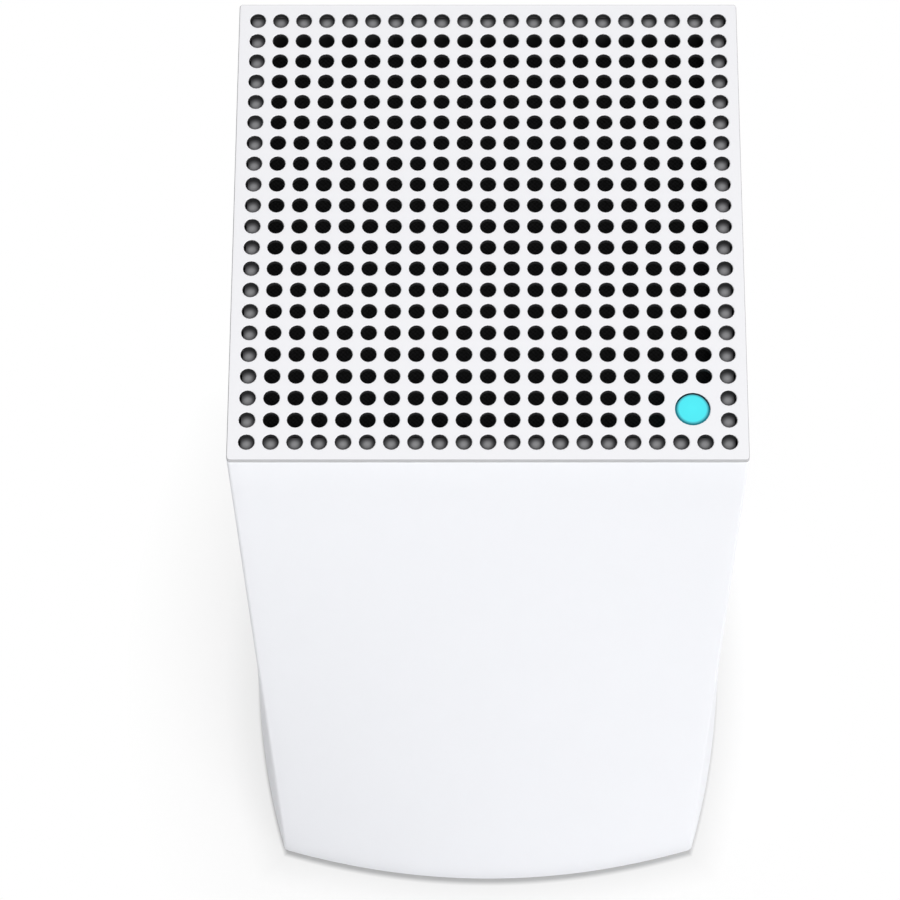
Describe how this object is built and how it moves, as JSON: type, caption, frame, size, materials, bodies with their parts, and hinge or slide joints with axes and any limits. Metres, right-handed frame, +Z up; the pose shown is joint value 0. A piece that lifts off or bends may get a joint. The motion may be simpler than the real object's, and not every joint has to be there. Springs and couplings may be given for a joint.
{
  "type": "wireless router",
  "caption": "Tower wireless router with a square vented top, a round status light, bowed walls and a rear socket bay.",
  "frame": {"origin": "centre of the footprint, on the surface that the four rubber feet stand on", "axes": "+Z up, -Y to the front, +Y to the socket bay at the back, +X to the right as seen from the front"},
  "size_m": [0.1142, 0.1142, 0.2438],
  "materials": {
    "shell_plastic": "satin white moulded plastic with a very fine texture",
    "grille_plastic": "satin white moulded plastic, slightly greyer than the shell",
    "grey_plastic": "plain grey moulded plastic",
    "light_lens": "translucent cyan light pipe, lit from below",
    "charcoal_plastic": "dark glass-filled plastic",
    "black_plastic": "black connector plastic",
    "yellow_plastic": "yellow connector plastic",
    "red_plastic": "red push button plastic",
    "foot_rubber": "matt dark rubber",
    "circuit_board": "green solder mask on glass-fibre board",
    "antenna_board": "black solder mask board with a copper antenna track",
    "tinned_steel": "tinned sheet steel",
    "screw_steel": "zinc-plated steel",
    "heat_sink_aluminium": "plain extruded aluminium",
    "thermal_pad": "soft blue-grey silicone pad",
    "ribbon": "white flat flexible cable",
    "screen_mesh": "fine black woven nylon mesh",
    "wire": "black wire insulation"
  },
  "bodies": {
    "casing": {"antenna_1": "antenna_board", "antenna_2": "antenna_board", "antenna_3": "antenna_board", "antenna_4": "antenna_board", "antenna_carrier": "charcoal_plastic", "antenna_lead_1": "wire", "antenna_lead_2": "wire", "antenna_lead_3": "wire", "antenna_lead_4": "wire", "base_cover": "shell_plastic", "base_screw_1": "screw_steel", "base_screw_2": "screw_steel", "base_screw_3": "screw_steel", "base_screw_4": "screw_steel", "board_ribbon": "ribbon", "button_board": "circuit_board", "button_lead": "wire", "chassis_frame": "charcoal_plastic", "dust_screen": "screen_mesh", "grille_frame": "grey_plastic", "heat_sink_front": "heat_sink_aluminium", "heat_sink_rear": "heat_sink_aluminium", "lamp_board": "circuit_board", "lamp_lead": "wire", "lan_jack_1": "black_plastic", "lan_jack_2": "black_plastic", "lan_jack_3": "black_plastic", "light_pipe": "light_lens", "main_board": "circuit_board", "outer_shell": "shell_plastic", "pair_switch": "black_plastic", "port_panel": "shell_plastic", "power_socket": "black_plastic", "reset_switch": "black_plastic", "rubber_foot_1": "foot_rubber", "rubber_foot_2": "foot_rubber", "rubber_foot_3": "foot_rubber", "rubber_foot_4": "foot_rubber", "shield_can_1": "tinned_steel", "shield_can_2": "tinned_steel", "shield_can_3": "tinned_steel", "shield_can_4": "tinned_steel", "sink_screw_1": "screw_steel", "sink_screw_2": "screw_steel", "sink_screw_3": "screw_steel", "sink_screw_4": "screw_steel", "socket_board": "circuit_board", "status_lamp": "black_plastic", "switch_body": "black_plastic", "thermal_pad_1": "thermal_pad", "thermal_pad_2": "thermal_pad", "thermal_pad_3": "thermal_pad", "thermal_pad_4": "thermal_pad", "top_grille": "grille_plastic", "usb_shell": "tinned_steel", "usb_tongue": "black_plastic", "wan_jack": "yellow_plastic"},
    "rocker": {"power_rocker": "black_plastic"},
    "pairing": {"pair_button": "shell_plastic"},
    "reset": {"reset_button": "red_plastic"}
  },
  "joints": [
    {"name": "power_rocker_tilt", "type": "hinge", "parent": "casing", "child": "rocker", "pos_m": [-0.008, 0.0432, 0.0174], "axis": [0, 0, 1], "range_deg": [-20, 0]},
    {"name": "pair_button_press", "type": "slide", "parent": "casing", "child": "pairing", "axis": [0, -1, 0], "range_m": [0, 0.0008], "stiffness_N_per_m": 400},
    {"name": "reset_button_press", "type": "slide", "parent": "casing", "child": "reset", "axis": [0, 0, 1], "range_m": [0, 0.0008], "stiffness_N_per_m": 400}
  ]
}
